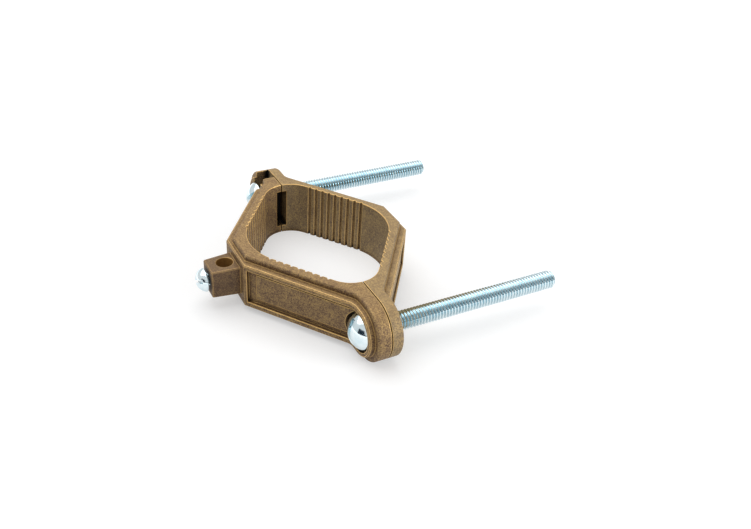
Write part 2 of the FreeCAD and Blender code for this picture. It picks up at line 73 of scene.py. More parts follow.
camera_data = bpy.data.cameras.new("camera")
camera = bpy.data.objects.new("camera", camera_data)
bpy.context.scene.collection.objects.link(camera)
bpy.context.scene.camera = camera
camera_data.sensor_width = SENSOR_WIDTH
camera_data.lens = FOCAL_PIXELS * SENSOR_WIDTH / PHOTO_WIDTH
camera_data.clip_start = 10 * MM
right = CAMERA_FORWARD.cross(CAMERA_UP).normalized()
up = right.cross(CAMERA_FORWARD)
turn = Matrix((right, up, -CAMERA_FORWARD)).transposed()
camera.matrix_world = Matrix.Translation(CAMERA_PLACE) @ turn.to_4x4()
bpy.context.scene.view_settings.view_transform = "Standard"
print("lens %.2f mm" % camera_data.lens)

# %% [markdown]
# ## Helpers for materials
#
# Colours are written as hex values, the way a paint program shows them. Blender's shaders
# calculate with linear light, so one function turns each hex value into linear numbers. A
# second one adds a node of any kind, gives it its settings and links its inputs, which keeps
# the materials below short enough to read.

# %% Colour and node helpers


def linear(code):
    """An sRGB hex colour as the linear numbers that a shader expects."""
    channels = [int(code[place:place + 2], 16) / 255 for place in (1, 3, 5)]
    levels = [c / 12.92 if c <= 0.04045 else ((c + 0.055) / 1.055) ** 2.4 for c in channels]
    return levels + [1.0]


def node(tree, kind, inputs=None, stops=(), **settings):
    """Adds a node. An input is a value or the socket it is linked to; stops fill a colour ramp."""
    made = tree.nodes.new(kind)
    for name, value in settings.items():
        setattr(made, name, value)
    for name, value in (inputs or {}).items():
        if isinstance(value, bpy.types.NodeSocket):
            tree.links.new(value, made.inputs[name])
        else:
            made.inputs[name].default_value = value
    for number, (place, colour) in enumerate(stops):
        elements = made.color_ramp.elements
        if number >= len(elements):
            elements.new(place)
        elements[number].position = place
        elements[number].color = linear(colour)
    return made


print("the grey #808080 is %.3f in linear light" % linear("#808080")[0])

# %% [markdown]
# ## Cast bronze: the sand's grain
#
# Both jaws are sand-cast bronze that was tumbled and left bare. The sand leaves a fine
# grain, half a millimetre to a millimetre across, and air browns the metal unevenly, in
# clouds of four or five millimetres. Three Noise nodes of those sizes are mixed into one
# pattern. They read Object coordinates, so the pattern stays on the metal when a jaw opens.
# A picture of bronze would do as well, but it repeats and shows its seams. The colour and
# the gloss of the metal come from the pattern, and its relief from the two finer noises.

# %% Sand grain
CLOUD_SIZE = 4.5 * MM
GRAIN_SIZE = 0.9 * MM
FINE_SIZE = 0.45 * MM


def sand_grain(tree, place):
    """The grain, the fine grain, and the pattern that they make with the clouds."""
    clouds = node(tree, "ShaderNodeTexNoise", {
        "Vector": place, "Scale": 1 / CLOUD_SIZE, "Detail": 5.0, "Roughness": 0.55}).outputs["Fac"]
    grain = node(tree, "ShaderNodeTexNoise", {
        "Vector": place, "Scale": 1 / GRAIN_SIZE, "Detail": 4.0, "Roughness": 0.75}).outputs["Fac"]
    fine = node(tree, "ShaderNodeTexNoise", {
        "Vector": place, "Scale": 1 / FINE_SIZE, "Detail": 2.0}).outputs["Fac"]
    pattern = 0.0
    for noise, share in ((grain, 0.4), (clouds, 0.22), (fine, 0.38)):
        pattern = node(tree, "ShaderNodeMath", {
            0: noise, 1: share, 2: pattern}, operation="MULTIPLY_ADD").outputs[0]
    return grain, fine, pattern


print("noise of %.2f, %.2f and %.2f mm" % (CLOUD_SIZE / MM, GRAIN_SIZE / MM, FINE_SIZE / MM))

# %% [markdown]
# ## Cast bronze: brown and gold
#
# Air turns the metal a dull purplish brown, most of all in the recesses, while tumbling and
# handling rub the rims back to a more golden metal. A Color Ramp gives each level of the
# pattern its own brown. The back jaw, at Y above 0, comes from another pour and is a little
# paler. Faces that look up or down get some gold, partly for the rubbed rims and partly as a
# painted highlight of the light from above. Last, a second ramp darkens each point by how
# closed in it is, partly for the darker patina in the hollows and partly as painted shade.
# An openness of 1 means that nothing stands near it.

# %% Brown and gold
BROWNS = [(0.41, "#665040"), (0.475, "#80674b"), (0.53, "#957a55"), (0.60, "#b1925e")]
# Darker towards the hollows: partly patina, partly painted shade.
SHADES = [(0.2, "#120d09"), (0.42, "#75624f"), (0.66, "#d8cec3"), (0.85, "#ffffff")]
PALER = 0.12
SHADED = 0.9


def bronze_colour(tree, place, normal, pattern, openness):
    """The colour of the metal before wear and dirt."""
    body = node(tree, "ShaderNodeValToRGB", {"Fac": pattern}, stops=BROWNS)
    second = node(tree, "ShaderNodeMath", {0: place["Y"], 1: 0.0}, operation="GREATER_THAN")
    paler = node(tree, "ShaderNodeMath", {0: second.outputs[0], 1: PALER}, operation="MULTIPLY")
    poured = node(tree, "ShaderNodeMix", {
        0: paler.outputs[0], 6: body.outputs["Color"], 7: linear("#cbc6a2")}, data_type="RGBA")
    # Faces that look up or down get gold: partly the rubbed rims, partly a painted highlight of the light
    # from above.
    level = node(tree, "ShaderNodeMath", {0: normal["Z"]}, operation="ABSOLUTE")
    rubbed_rim_and_top_light = node(tree, "ShaderNodeMapRange", {
        "Value": level.outputs[0], "From Min": 0.6, "From Max": 0.95, "To Min": 0.0, "To Max": 0.25})
    rubbed_and_top_lit = node(tree, "ShaderNodeMix", {
        0: rubbed_rim_and_top_light.outputs["Result"], 6: poured.outputs[2], 7: linear("#c09c66")}, data_type="RGBA")
    # Painted shade in the hollows, with some darker patina, by how closed in each point is.
    shade = node(tree, "ShaderNodeValToRGB", {"Fac": openness}, stops=SHADES)
    return node(tree, "ShaderNodeMix", {
        0: SHADED, 6: rubbed_and_top_lit.outputs[2], 7: shade.outputs["Color"]},
        data_type="RGBA", blend_type="MULTIPLY").outputs[2]


print("browns from %s to %s" % (BROWNS[0][1], BROWNS[-1][1]))

# %% [markdown]
# ## Cast bronze: worn edges
#
# Edges that stand proud are rubbed down to bright metal. Most of the CAD's edges are sharp.
# The Bevel node gives the normal that they would have if casting had rounded them, and where
# it differs from the true normal there is an edge. An inner corner differs too, so the
# result is kept only where the surface is open.

# %% Worn edges
EDGE_FROM = 0.995
EDGE_FULL = 0.93


def worn_edges(tree, rounded, openness):
    """Up to 0.95 on a proud edge, and 0 elsewhere."""
    true = node(tree, "ShaderNodeNewGeometry").outputs["Normal"]
    bend = node(tree, "ShaderNodeVectorMath", {0: rounded, 1: true}, operation="DOT_PRODUCT")
    turned = node(tree, "ShaderNodeMapRange", {
        "Value": bend.outputs["Value"], "From Min": EDGE_FROM, "From Max": EDGE_FULL,
        "To Min": 0.0, "To Max": 0.95})
    proud = node(tree, "ShaderNodeMapRange", {
        "Value": openness, "From Min": 0.4, "From Max": 0.7, "To Min": 0.0, "To Max": 1.0})
    return node(tree, "ShaderNodeMath", {
        0: turned.outputs["Result"], 1: proud.outputs["Result"]}, operation="MULTIPLY").outputs[0]


bends = [math.degrees(math.acos(dot)) for dot in (EDGE_FROM, EDGE_FULL)]
print("wear starts at a bend of %.0f degrees and is full at %.0f" % tuple(bends))

# %% [markdown]
# ## Cast bronze: the lug and its hole
#
# The lug, which nothing rubs, is browner than the rest. The drill left the wall of its hole
# bright, and its bright gold there is also a painted glint of light inside the hole. Both are
# found by their place: the lug by how far it stands out along Y, and the wall of the hole by
# its distance from the hole's axis, which runs along Z. Painted vertex colours would do the
# same, but the CAD's meshes are to stay as they are.

# %% Lug and hole
LUG_FROM = -36 * MM
LUG_FULL = -41 * MM
HOLE_AXIS = (0, -42.1 * MM, 0)
HOLE_RADIUS = 3.5 * MM


def lug_colour(tree, place, colour):
    """The colour with the browner lug, and the bright wall of its hole with its painted glint."""
    browner = node(tree, "ShaderNodeMapRange", {
        "Value": place["Y"], "From Min": LUG_FROM, "From Max": LUG_FULL, "To Min": 0.0, "To Max": 0.55})
    lug = node(tree, "ShaderNodeMix", {
        0: browner.outputs["Result"], 6: colour, 7: linear("#604c3f")}, data_type="RGBA")
    # The wall of the hole: bright drilled metal, whose gold is also a painted glint.
    across = node(tree, "ShaderNodeCombineXYZ", {"X": place["X"], "Y": place["Y"]})
    from_axis = node(tree, "ShaderNodeVectorMath", {
        0: across.outputs[0], 1: HOLE_AXIS}, operation="DISTANCE")
    drilled_wall_and_glint = node(tree, "ShaderNodeMapRange", {
        "Value": from_axis.outputs["Value"], "From Min": HOLE_RADIUS + 0.02 * MM,
        "From Max": HOLE_RADIUS + 0.1 * MM, "To Min": 0.7, "To Max": 0.0})
    return node(tree, "ShaderNodeMix", {
        0: drilled_wall_and_glint.outputs["Result"], 6: lug.outputs[2], 7: linear("#a87c3a")},
        data_type="RGBA").outputs[2]


print("hole of %.1f mm at Y %.1f mm" % (2 * HOLE_RADIUS / MM, HOLE_AXIS[1] / MM))

# %% [markdown]
# ## Cast bronze: dirt and painted shade
#
# Dirt draws a dark line round the joint at Y = 0. The line stays off the two faces that meet
# there, which look along Y, so they are clean metal when the jaws open. The pockets that are
# cored into those faces get a painted shade, nearly black. A point is in a pocket when it is
# closed in, close to the joint, and above the 3.5 mm of metal that is left under each pocket.

# %% Dirt
LINE_WIDTH = (0.15 * MM, 0.35 * MM)
POCKET_REACH = (2.3 * MM, 2.6 * MM)
POCKET_FOOT = (2.4 * MM, 3.4 * MM)


def dirt_and_pocket_shade(tree, place, normal, openness):
    """1 on the dirt line round the joint and on the painted shade in the pockets, and 0 elsewhere."""
    from_joint = node(tree, "ShaderNodeMath", {0: place["Y"]}, operation="ABSOLUTE").outputs[0]
    line = node(tree, "ShaderNodeMapRange", {
        "Value": from_joint, "From Min": LINE_WIDTH[0], "From Max": LINE_WIDTH[1],
        "To Min": 1.0, "To Max": 0.0})
    sideways = node(tree, "ShaderNodeMath", {0: normal["Y"]}, operation="ABSOLUTE")
    outside = node(tree, "ShaderNodeMapRange", {
        "Value": sideways.outputs[0], "From Min": 0.6, "From Max": 0.9, "To Min": 1.0, "To Max": 0.0})
    seam = node(tree, "ShaderNodeMath", {
        0: line.outputs["Result"], 1: outside.outputs["Result"]}, operation="MULTIPLY")

    # The pockets get a painted shade, nearly black.
    near = node(tree, "ShaderNodeMapRange", {
        "Value": from_joint, "From Min": POCKET_REACH[0], "From Max": POCKET_REACH[1],
        "To Min": 1.0, "To Max": 0.0})
    sunk = node(tree, "ShaderNodeMapRange", {
        "Value": openness, "From Min": 0.94, "From Max": 0.8, "To Min": 0.0, "To Max": 1.0})
    above = node(tree, "ShaderNodeMapRange", {
        "Value": place["Z"], "From Min": POCKET_FOOT[0], "From Max": POCKET_FOOT[1],
        "To Min": 0.0, "To Max": 1.0})
    pocket_shade = near.outputs["Result"]
    for other in (sunk, above):
        pocket_shade = node(tree, "ShaderNodeMath", {
            0: pocket_shade, 1: other.outputs["Result"]}, operation="MULTIPLY").outputs[0]
    return node(tree, "ShaderNodeMath", {0: seam.outputs[0], 1: pocket_shade}, operation="MAXIMUM").outputs[0]


print("dirt within %.2f mm of the joint outside" % (LINE_WIDTH[1] / MM))

# %% [markdown]
# ## Cast bronze: the whole material
#
# The steps meet here. The Ambient Occlusion node measures the openness, and the Bevel node
# the rounded normal, on which two Bump nodes raise the grain. Worn edges are smoother than
# the browned metal between them. Brown oxide is not a metal to the eye, so Metallic rises
# only where the bronze is rubbed.

# %% Cast bronze
HOLLOW_REACH = 3.5 * MM
EDGE_RADIUS = 0.7 * MM
RAY_COUNT = 8


def cast_bronze():
    material = bpy.data.materials.new("tumbled_bronze")
    material.use_nodes = True
    tree = material.node_tree
    tree.nodes.clear()
    coordinates = node(tree, "ShaderNodeTexCoord").outputs
    place = node(tree, "ShaderNodeSeparateXYZ", {"Vector": coordinates["Object"]}).outputs
    normal = node(tree, "ShaderNodeSeparateXYZ", {"Vector": coordinates["Normal"]}).outputs
    openness = node(tree, "ShaderNodeAmbientOcclusion", {
        "Distance": HOLLOW_REACH}, samples=RAY_COUNT).outputs["AO"]
    rounded = node(tree, "ShaderNodeBevel", {"Radius": EDGE_RADIUS}, samples=RAY_COUNT).outputs["Normal"]

    grain, fine, pattern = sand_grain(tree, coordinates["Object"])
    edge = worn_edges(tree, rounded, openness)
    colour = bronze_colour(tree, place, normal, pattern, openness)
    worn = node(tree, "ShaderNodeMix", {0: edge, 6: colour, 7: linear("#f2c780")}, data_type="RGBA")
    lug = lug_colour(tree, place, worn.outputs[2])
    # Dirt on the joint line, and painted shade in the pockets beside it.
    dirty_and_shaded = node(tree, "ShaderNodeMix", {
        0: dirt_and_pocket_shade(tree, place, normal, openness), 6: lug, 7: linear("#15110d")}, data_type="RGBA")

    relief = rounded
    for height, strength, depth in ((grain, 0.7, 0.12 * MM), (fine, 0.5, 0.06 * MM)):
        relief = node(tree, "ShaderNodeBump", {
            "Strength": strength, "Distance": depth, "Height": height, "Normal": relief}).outputs["Normal"]
    browned = node(tree, "ShaderNodeMapRange", {
        "Value": pattern, "From Min": 0.35, "From Max": 0.65, "To Min": 0.68, "To Max": 0.46})
    rough = node(tree, "ShaderNodeMath", {
        0: edge, 1: -0.2, 2: browned.outputs["Result"]}, operation="MULTIPLY_ADD")
    metal = node(tree, "ShaderNodeMapRange", {
        "Value": edge, "From Min": 0.0, "From Max": 0.8, "To Min": 0.3, "To Max": 0.65})
    shader = node(tree, "ShaderNodeBsdfPrincipled", {
        "Base Color": dirty_and_shaded.outputs[2], "Roughness": rough.outputs[0], "Normal": relief,
        "Metallic": metal.outputs["Result"], "Specular IOR Level": 0.25})
    node(tree, "ShaderNodeOutputMaterial", {"Surface": shader.outputs["BSDF"]})
    return material


BRONZE = cast_bronze()
for name in ("front_jaw", "back_jaw"):
    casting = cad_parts[name]
    casting.data.materials.clear()
    casting.data.materials.append(BRONZE)
    print(name, "in", BRONZE.name)

# %% [markdown]
# ## Bright zinc plate
#
# The screws are steel, electroplated with zinc and passivated clear, which gives a bright
# mirror with a cool, faintly blue cast. The passivation pools in the grooves of the thread
# and in the driver slots, where it dries to a deeper blue, so an Ambient Occlusion node
# with a reach of under one millimetre tints them. Its darkest blue is also painted shade,
# which draws each groove of the thread as a dark line. The plate follows the rolled metal
# below it, so it is smooth, with only a slow waviness in its gloss.

# %% Bright zinc plate
HAZE_SIZE = 2.5 * MM
GROOVE_REACH = 0.9 * MM


def bright_zinc():
    material = bpy.data.materials.new("bright_zinc")
    material.use_nodes = True
    tree = material.node_tree
    tree.nodes.clear()
    place = node(tree, "ShaderNodeTexCoord").outputs["Object"]
    haze = node(tree, "ShaderNodeTexNoise", {
        "Vector": place, "Scale": 1 / HAZE_SIZE, "Detail": 4.0}).outputs["Fac"]
    tint = node(tree, "ShaderNodeValToRGB", {"Fac": haze}, stops=[(0.3, "#cfe2e9"), (0.7, "#e6f1f4")])
    groove = node(tree, "ShaderNodeAmbientOcclusion", {"Distance": GROOVE_REACH}, samples=RAY_COUNT)
    # Passivation tint in the grooves, and painted shade that draws each groove as a dark line.
    film_and_groove_shade = node(tree, "ShaderNodeValToRGB", {"Fac": groove.outputs["AO"]}, stops=[
        (0.32, "#4f7480"), (0.58, "#b9d0d8"), (0.92, "#ffffff")])
    tinted_and_shaded = node(tree, "ShaderNodeMix", {
        0: 1.0, 6: tint.outputs["Color"], 7: film_and_groove_shade.outputs["Color"]},
        data_type="RGBA", blend_type="MULTIPLY")
    rough = node(tree, "ShaderNodeMapRange", {
        "Value": haze, "From Min": 0.3, "From Max": 0.7, "To Min": 0.07, "To Max": 0.16})
    wave = node(tree, "ShaderNodeBump", {"Strength": 0.15, "Distance": 0.03 * MM, "Height": haze})
    shader = node(tree, "ShaderNodeBsdfPrincipled", {
        "Base Color": tinted_and_shaded.outputs[2], "Roughness": rough.outputs["Result"], "Metallic": 1.0,
        "Normal": wave.outputs["Normal"]})
    node(tree, "ShaderNodeOutputMaterial", {"Surface": shader.outputs["BSDF"]})
    return material


ZINC = bright_zinc()
print(ZINC.name, "has", len(ZINC.node_tree.nodes), "nodes")

# %% [markdown]
# ## Rolled threads: the profile
#
# A screw thread is one ridge wound round a cylinder. It could be made with the Screw
# modifier, or drawn as a bump, but a bump leaves the outline straight, and here the ridges
# show against the white table. Geometry Nodes make it here. The first thing that they need
# is the shape of one pitch: a Float Curve with straight lines between its points falls from
# the flat crest to the narrow root and climbs back again.

# %% Thread profile
ROWS_PER_PITCH = 8
PROFILE = (
    (0.0, 1.0), (0.0625, 1.0), (0.375, 0.12), (0.5, 0.0), (0.625, 0.12), (0.9375, 1.0), (1.0, 1.0))


def ridge_height(tree, pitches):
    """1 on a crest and 0 at a root, for a place along the screw counted in pitches."""
    share = node(tree, "ShaderNodeMath", {0: pitches}, operation="FRACT")
    height = node(tree, "ShaderNodeFloatCurve", {"Value": share.outputs[0]})
    points = height.mapping.curves[0].points
    for place, rise in PROFILE[1:-1]:
        points.new(place, rise)
    for point, (place, rise) in zip(points, PROFILE):
        point.location = (place, rise)
        point.handle_type = "VECTOR"
    height.mapping.update()
    return height.outputs[0]


print("profile of %d points, read %d times a pitch" % (len(PROFILE), ROWS_PER_PITCH))

# %% [markdown]
# ## Rolled threads: the tree
#
# The tree starts from a flat grid. Its long side, X, lies along the screw and counts
# pitches. Its short side, Y, is one turn and is wrapped round the screw. Each point also
# moves along the axis by its share of a turn, so the rows of the grid become a right-hand
# helix. Towards both ends the radius is cut back at 45 degrees, which gives the chamfered
# tip and the run-out under the head. Points that then lie closer than MERGE_WITHIN become
# one. Named inputs let the same tree make all three screws.

# %% Thread tree
SIDES = 48
MERGE_WITHIN = 0.002 * MM


def thread_tree():
    tree = bpy.data.node_groups.new("rolled_thread", "GeometryNodeTree")
    for name in ("Length", "Pitch", "Root Radius", "Depth", "Chamfer"):
        tree.interface.new_socket(name, in_out="INPUT", socket_type="NodeSocketFloat")
    tree.interface.new_socket("Turns", in_out="INPUT", socket_type="NodeSocketInt")
    tree.interface.new_socket("Material", in_out="INPUT", socket_type="NodeSocketMaterial")
    tree.interface.new_socket("Geometry", in_out="OUTPUT", socket_type="NodeSocketGeometry")
    sizes = node(tree, "NodeGroupInput").outputs

    rows = node(tree, "ShaderNodeMath", {
        0: sizes["Turns"], 1: ROWS_PER_PITCH, 2: 1}, operation="MULTIPLY_ADD")
    grid = node(tree, "GeometryNodeMeshGrid", {
        "Size X": sizes["Turns"], "Size Y": 1.0, "Vertices X": rows.outputs[0], "Vertices Y": SIDES + 1})
    flat = node(tree, "ShaderNodeSeparateXYZ", {
        "Vector": node(tree, "GeometryNodeInputPosition").outputs[0]}).outputs

    turned = node(tree, "ShaderNodeMath", {0: flat["X"], 1: flat["Y"]}, operation="ADD")
    middle = node(tree, "ShaderNodeMath", {0: sizes["Length"], 1: 0.5}, operation="MULTIPLY")
    along = node(tree, "ShaderNodeMath", {
        0: turned.outputs[0], 1: sizes["Pitch"], 2: middle.outputs[0]}, operation="MULTIPLY_ADD")
    along = node(tree, "ShaderNodeClamp", {
        "Value": along.outputs[0], "Min": 0.0, "Max": sizes["Length"]})
    rest = node(tree, "ShaderNodeMath", {0: sizes["Length"], 1: along.outputs[0]}, operation="SUBTRACT")
    nearest = node(tree, "ShaderNodeMath", {0: rest.outputs[0], 1: along.outputs[0]}, operation="MINIMUM")

    height = ridge_height(tree, flat["X"])
    radius = node(tree, "ShaderNodeMath", {
        0: height, 1: sizes["Depth"], 2: sizes["Root Radius"]}, operation="MULTIPLY_ADD")
    crest = node(tree, "ShaderNodeMath", {0: sizes["Root Radius"], 1: sizes["Depth"]}, operation="ADD")
    end = node(tree, "ShaderNodeMath", {0: crest.outputs[0], 1: sizes["Chamfer"]}, operation="SUBTRACT")
    limit = node(tree, "ShaderNodeMath", {0: end.outputs[0], 1: nearest.outputs[0]}, operation="ADD")
    radius = node(tree, "ShaderNodeMath", {0: radius.outputs[0], 1: limit.outputs[0]}, operation="MINIMUM")

    angle = node(tree, "ShaderNodeMath", {0: flat["Y"], 1: 2 * math.pi}, operation="MULTIPLY")
    arm = node(tree, "ShaderNodeCombineXYZ", {"Y": along.outputs[0], "Z": radius.outputs[0]})
    wrapped = node(tree, "ShaderNodeVectorRotate", {
        "Vector": arm.outputs[0], "Angle": angle.outputs[0]}, rotation_type="Y_AXIS")
    placed = node(tree, "GeometryNodeSetPosition", {
        "Geometry": grid.outputs["Mesh"], "Position": wrapped.outputs[0]})
    merged = node(tree, "GeometryNodeMergeByDistance", {
        "Geometry": placed.outputs[0], "Distance": MERGE_WITHIN})
    real = node(tree, "GeometryNodeRealizeInstances", {"Geometry": merged.outputs[0]})
    coated = node(tree, "GeometryNodeSetMaterial", {
        "Geometry": real.outputs[0], "Material": sizes["Material"]})
    node(tree, "NodeGroupOutput", {"Geometry": coated.outputs[0]})
    return tree


THREAD = thread_tree()
print(THREAD.name, "has", len(THREAD.nodes), "nodes")

# %% [markdown]
# ## Rolled threads: the mesh
#
# A modifier runs the tree on an empty object, and new_from_object turns its result into a
# plain mesh. The wrapped grid is a tube with open ends, so the ends are filled, and all
# faces are turned outwards.

# %% Thread mesh


def thread_mesh(name, **sizes):
    """The tree's result for these sizes, as a plain mesh with closed ends."""
    holder = bpy.data.objects.new(name, bpy.data.meshes.new(name))
    bpy.context.scene.collection.objects.link(holder)
    modifier = holder.modifiers.new("thread", "NODES")
    modifier.node_group = THREAD
    for item in THREAD.interface.items_tree:
        if item.in_out == "INPUT":
            modifier[item.identifier] = sizes[item.name]
    bpy.context.view_layer.update()
    graph = bpy.context.evaluated_depsgraph_get()
    mesh = bpy.data.meshes.new_from_object(holder.evaluated_get(graph))
    bpy.data.objects.remove(holder)
    work = bmesh.new()
    work.from_mesh(mesh)
    bmesh.ops.dissolve_degenerate(work, edges=work.edges, dist=MERGE_WITHIN / 2)
    bmesh.ops.holes_fill(work, edges=[edge for edge in work.edges if edge.is_boundary], sides=0)
    bmesh.ops.recalc_face_normals(work, faces=work.faces)
    work.to_mesh(mesh)
    work.free()
    return mesh


print("thread inputs:", [item.name for item in THREAD.interface.items_tree if item.in_out == "INPUT"])

# %% [markdown]
# ## Round heads: the dome
#
# The heads are pressed from the end of the wire. Each is a dome, part of a sphere, with a
# small rounding at its foot. A sphere that is cut and scaled could give it, but a short
# profile turned about the screw's axis keeps the real radius and height, and also makes the
# plain neck between the head and the thread.

# %% Dome
DOME_STEPS = 20


def dome_profile(radius, height):
    """Points of half the dome from its foot to its crown: distance from the axis, and height."""
    foot = height / 9
    sphere = (radius ** 2 + height ** 2) / (2 * height)
    centre = height - sphere
    points = [(0.0, 0.0), (radius - foot, 0.0), (radius - foot / 3, foot / 4)]
    widest = math.atan2(foot - centre, math.sqrt(sphere ** 2 - (foot - centre) ** 2))
    for number in range(DOME_STEPS + 1):
        lift = widest + (math.pi / 2 - widest) * number / DOME_STEPS
        points.append((sphere * math.cos(lift), centre + sphere * math.sin(lift)))
    return points


def spun(name, points, sides):
    """A closed shape turned about the Y axis, its height along -Y."""
    work = bmesh.new()
    profile = [work.verts.new((across, -rise, 0)) for across, rise in points]
    edges = [work.edges.new(pair) for pair in zip(profile, profile[1:])]
    bmesh.ops.spin(work, geom=profile + edges, cent=(0, 0, 0), axis=(0, 1, 0), dvec=(0, 0, 0),
                   angle=2 * math.pi, steps=sides, use_merge=True)
    bmesh.ops.remove_doubles(work, verts=work.verts, dist=MERGE_WITHIN)
    bmesh.ops.recalc_face_normals(work, faces=work.faces)
    mesh = bpy.data.meshes.new(name)
    work.to_mesh(mesh)
    work.free()
    return mesh


print("a dome's profile has", len(dome_profile(7.9 * MM, 5.1 * MM)), "points")

# %% [markdown]
# ## Round heads: the driver slot
#
# A saw cuts the driver slot. A thin box taken away with the Boolean modifier does the same
# here, and a narrow Bevel breaks the edges, because a plated edge always catches a thin line
# of light. The evaluated object again becomes a plain mesh.

# %% Driver slot
HEAD_SIDES = 96
EDGE_BREAK = 0.12 * MM
EDGE_ANGLE = math.radians(40)


def block(name, low, high):
    """A box between two corners."""
    work = bmesh.new()
    bmesh.ops.create_cube(work, size=1.0)
    for vertex in work.verts:
        vertex.co = Vector([low[i] + (high[i] - low[i]) * (vertex.co[i] + 0.5) for i in range(3)])
    mesh = bpy.data.meshes.new(name)
    work.to_mesh(mesh)
    work.free()
    return mesh


def slotted_head(name, radius, height, slot_width, slot_depth, slot_turn):
    """The dome with its saw cut, its foot at Y = 0."""
    head = bpy.data.objects.new(name, spun(name, dome_profile(radius, height), HEAD_SIDES))
    reach = 2 * radius
    low = (-slot_width / 2, -height - reach, -reach)
    high = (slot_width / 2, slot_depth - height, reach)
    saw = bpy.data.objects.new(name + "_saw", block(name + "_saw", low, high))
    for item in (head, saw):
        bpy.context.scene.collection.objects.link(item)
    saw.data.transform(Matrix.Rotation(slot_turn, 4, "Y"))
    cut = head.modifiers.new("saw", "BOOLEAN")
    cut.object = saw
    cut.solver = "EXACT"
    edge = head.modifiers.new("edge", "BEVEL")
    edge.width = EDGE_BREAK
    edge.segments = 2
    edge.limit_method = "ANGLE"
    edge.angle_limit = EDGE_ANGLE
    bpy.context.view_layer.update()
    graph = bpy.context.evaluated_depsgraph_get()
    mesh = bpy.data.meshes.new_from_object(head.evaluated_get(graph))
    for item in (head, saw):
        bpy.data.objects.remove(item)
    return mesh


print("slot edges broken by %.2f mm" % (EDGE_BREAK / MM))

# %% [markdown]
# ## The screws: one mesh each
#
# Thread, neck and head of a screw are joined in one mesh, with the underside of the head at
# the origin. The neck is a plain cylinder that starts under the head and ends a pitch inside
# the thread. The thread's crest stays just inside the tapped hole, and its depth is the
# 0.61 of the pitch that a 60 degree thread has once its crest and root are flattened.

# %% Screw mesh
THREAD_DEPTH = 0.61
CREST_PLAY = 0.02 * MM
NECK_DEPTH = 0.75
SHARP_ANGLE = math.radians(35)


def screw_mesh(name, length, head_radius, pitch, shank_radius, plain, head_height, chamfer,
               slot_width, slot_depth, slot_turn):
    """Head, neck and thread in one mesh; the length is measured from under the head."""
    crest = shank_radius - CREST_PLAY
    depth = THREAD_DEPTH * pitch
    # Each row leans by a pitch, so the grid is at least a turn longer than the thread. Half of
    # it lies to each side of zero, and an even number puts its ends at whole pitches.
    turns = 2 * math.ceil((length / pitch + 1) / 2)
    thread = thread_mesh(name + "_thread", **{
        "Length": length - plain, "Pitch": pitch, "Root Radius": crest - depth, "Depth": depth,
        "Chamfer": chamfer, "Turns": turns, "Material": ZINC})
    thread.transform(Matrix.Translation((0, plain, 0)))
    head = slotted_head(name + "_head", head_radius, head_height, slot_width, slot_depth, slot_turn)
    neck_radius = crest - NECK_DEPTH * depth
    neck_end = -plain - pitch
    neck = spun(name + "_neck", [(0, 0), (neck_radius, 0), (neck_radius, neck_end), (0, neck_end)], SIDES)
    work = bmesh.new()
    for part in (head, neck, thread):
        work.from_mesh(part)
    mesh = bpy.data.meshes.new(name)
    work.to_mesh(mesh)
    work.free()
    mesh.materials.clear()
    mesh.materials.append(ZINC)
    mesh.polygons.foreach_set("material_index", [0] * len(mesh.polygons))
    mesh.set_sharp_from_angle(angle=SHARP_ANGLE)
    return mesh


print("thread %.2f mm deep at a pitch of 1 mm" % THREAD_DEPTH)

# %% [markdown]
# ## The screws: in their places
#
# The long ones are 5/16 inch screws with 18 threads to the inch, so one turn moves 1.41 mm.
# Each visible screw replaces the plain one of the CAD model: it takes its place and reach
# from that node's box, and rides on the same body, so it follows when the jaws open.

# %% Screws
LONG = {"pitch": 25.4 / 18 * MM, "shank_radius": 3.97 * MM, "plain": 6 * MM, "head_height": 5.1 * MM,
        "chamfer": 1.2 * MM, "slot_width": 1.9 * MM, "slot_depth": 2.6 * MM}
SHORT = {"pitch": 0.8 * MM, "shank_radius": 2.75 * MM, "plain": 0.6 * MM, "head_height": 4.0 * MM,
         "chamfer": 0.6 * MM, "slot_width": 1.6 * MM, "slot_depth": 2.0 * MM}


def screw(node_name, slot_turn, sizes):
    """Puts a threaded screw in the place of a plain one; its driver slot's turn is in degrees."""
    low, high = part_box(node_name)
    seat = low.y + sizes["head_height"]
    length = high.y - seat
    name = node_name + "_zinc"
    head_radius = (high.x - low.x) / 2
    mesh = screw_mesh(name, length, head_radius, slot_turn=math.radians(slot_turn), **sizes)
    mesh.transform(Matrix.Translation(((low.x + high.x) / 2, seat, (low.z + high.z) / 2)))
    made = bpy.data.objects.new(name, mesh)
    bpy.context.scene.collection.objects.link(made)
    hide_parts(node_name)
    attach(made, node_name)
    print(name, "%.1f mm under the head, %d faces" % (length / MM, len(mesh.polygons)))


screw("hinge_screw", slot_turn=-14, sizes=LONG)
screw("slot_screw", slot_turn=35, sizes=LONG)
screw("lug_screw", slot_turn=63, sizes=SHORT)

# %% [markdown]
# ## White table
#
# The photograph is a product shot on a white sweep: the table and the background are one
# white, and only a faint shadow shows where the clamp stands. A large plane catches that
# shadow. Its paper is light grey, so that it throws less light up at the metal, and the
# Light Path node adds a glow that only the camera and mirror-like surfaces see. The glow is
# a little under half of white near the clamp, which keeps its soft shadow, and full white
# further out.

# %% White table
TABLE_SIZE = 3.0
PAPER = "#cccccc"
GLOW_NEAR = 0.45
GLOW_FAR = 1.0
SHADOW_REACH = (0.07, 0.24)


def seen_directly(tree):
    """1 for camera, glossy and transmission rays, and 0 for the light that surfaces gather."""
    path = node(tree, "ShaderNodeLightPath").outputs
    seen = node(tree, "ShaderNodeMath", {
        0: path["Is Camera Ray"], 1: path["Is Glossy Ray"]}, operation="MAXIMUM")
    return node(tree, "ShaderNodeMath", {
        0: seen.outputs[0], 1: path["Is Transmission Ray"]}, operation="MAXIMUM").outputs[0]


